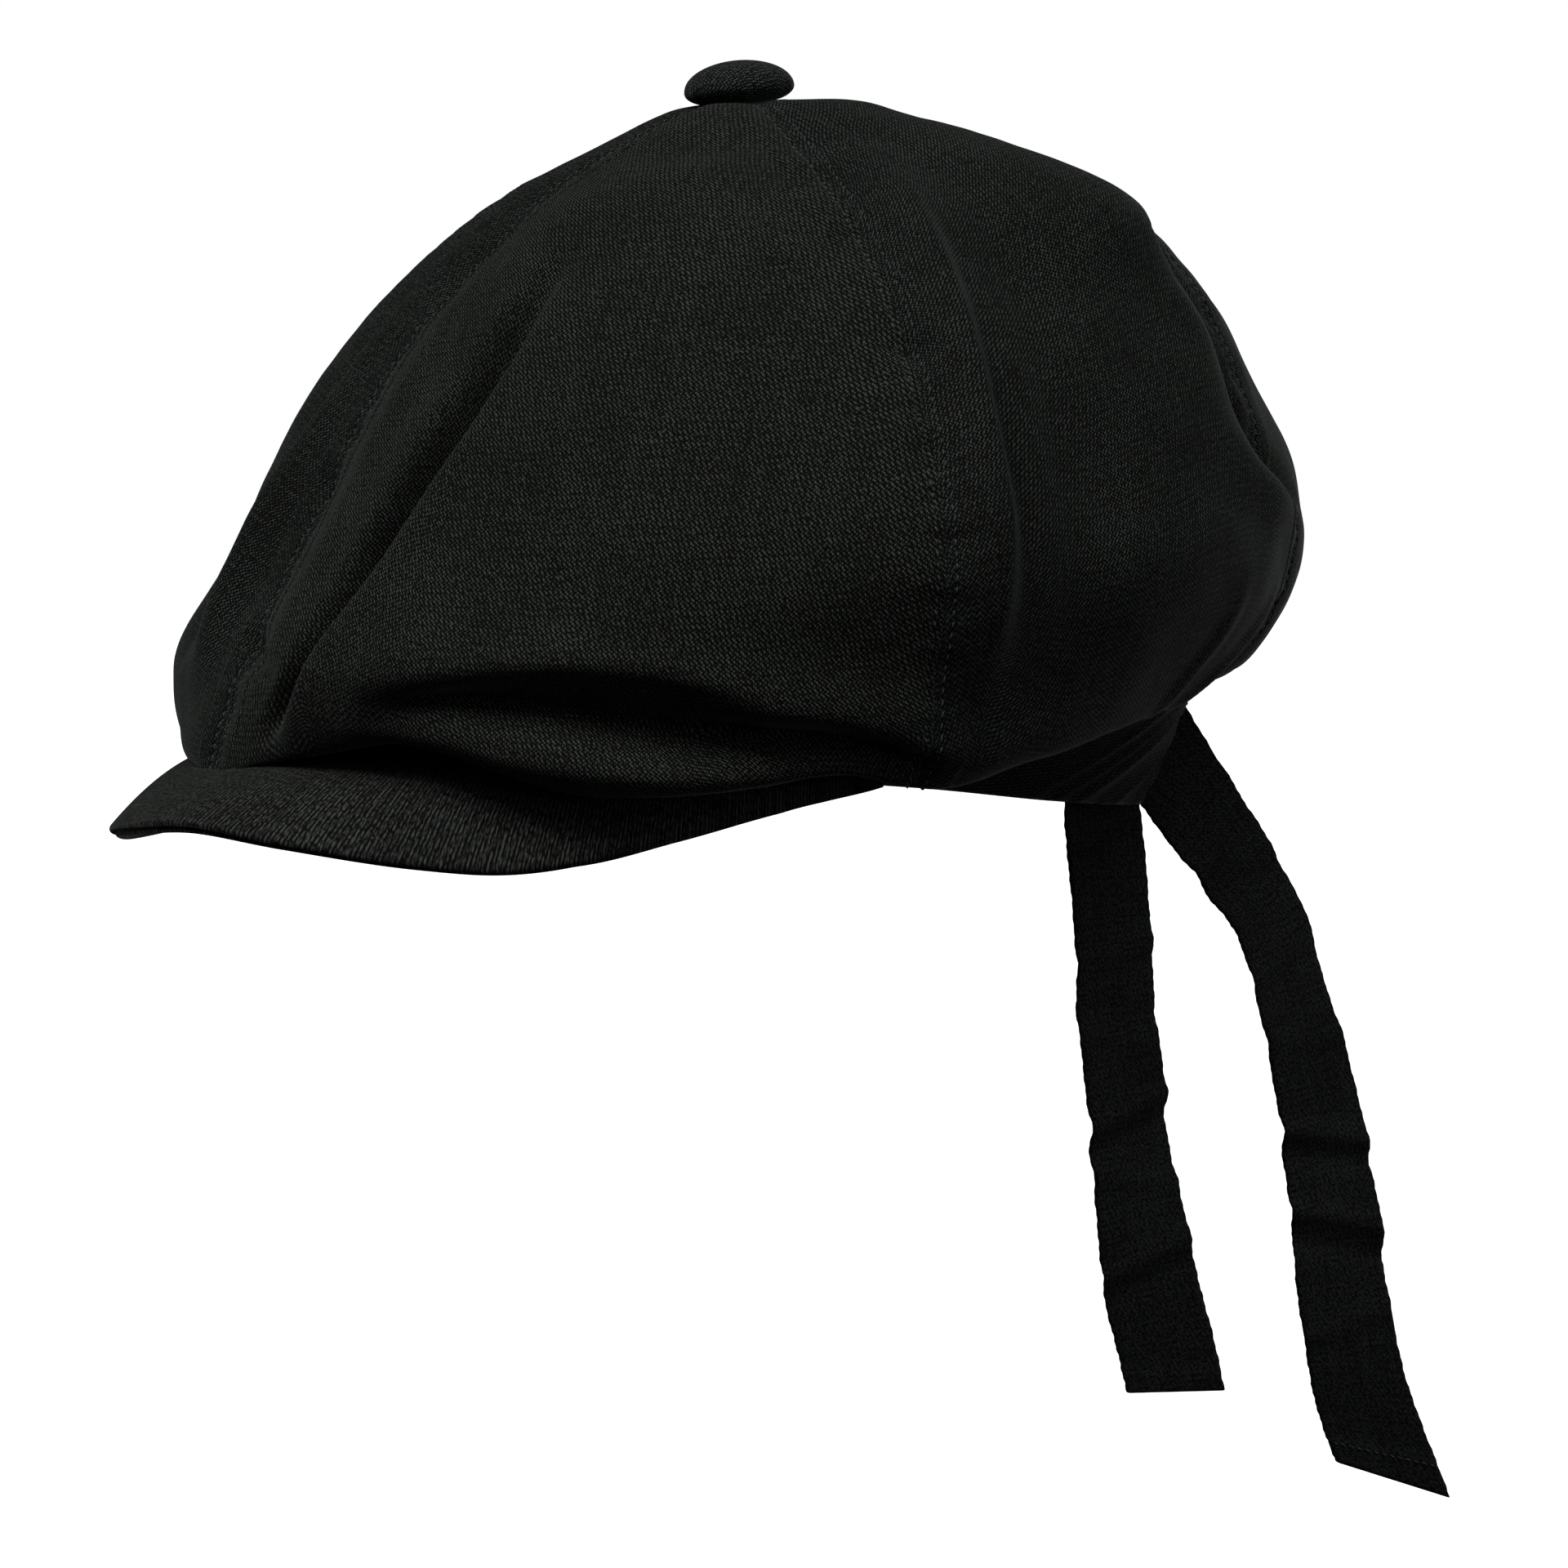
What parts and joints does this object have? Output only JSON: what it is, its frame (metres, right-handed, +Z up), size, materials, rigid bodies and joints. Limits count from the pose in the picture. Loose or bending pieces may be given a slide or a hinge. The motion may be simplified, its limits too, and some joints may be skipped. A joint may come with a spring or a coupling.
{
  "type": "sailor cap",
  "caption": "Soft dark sailor cap with a full gored crown, a covered button, a short curved peak and two cloth ties hanging at the back.",
  "frame": {"origin": "middle of the head opening, level with the lower edge of the band at the wearer's side", "axes": "+Z up the wearer's head, -Y to the wearer's front, +X to the wearer's left"},
  "size_m": [0.2336, 0.3101, 0.3322],
  "materials": {
    "crown_cloth": "matt black-green twill with a faint fuzz, double rows of topstitching along the seams",
    "button_cloth": "the same twill stretched over a round button",
    "band_cloth": "the same twill, gathered at the back",
    "peak_cloth": "the same twill in two layers, edge stitched",
    "tie_cloth": "narrow doubled twill strip with soft creases"
  },
  "bodies": {
    "root": {"crown_panel_front_left": "crown_cloth", "crown_panel_front_right": "crown_cloth", "crown_panel_side_left": "crown_cloth", "crown_panel_side_right": "crown_cloth", "crown_panel_back": "crown_cloth", "button": "button_cloth", "band": "band_cloth", "peak_top_cloth": "peak_cloth", "peak_under_cloth": "peak_cloth", "tie_left": "tie_cloth", "tie_right": "tie_cloth"}
  },
  "joints": []
}
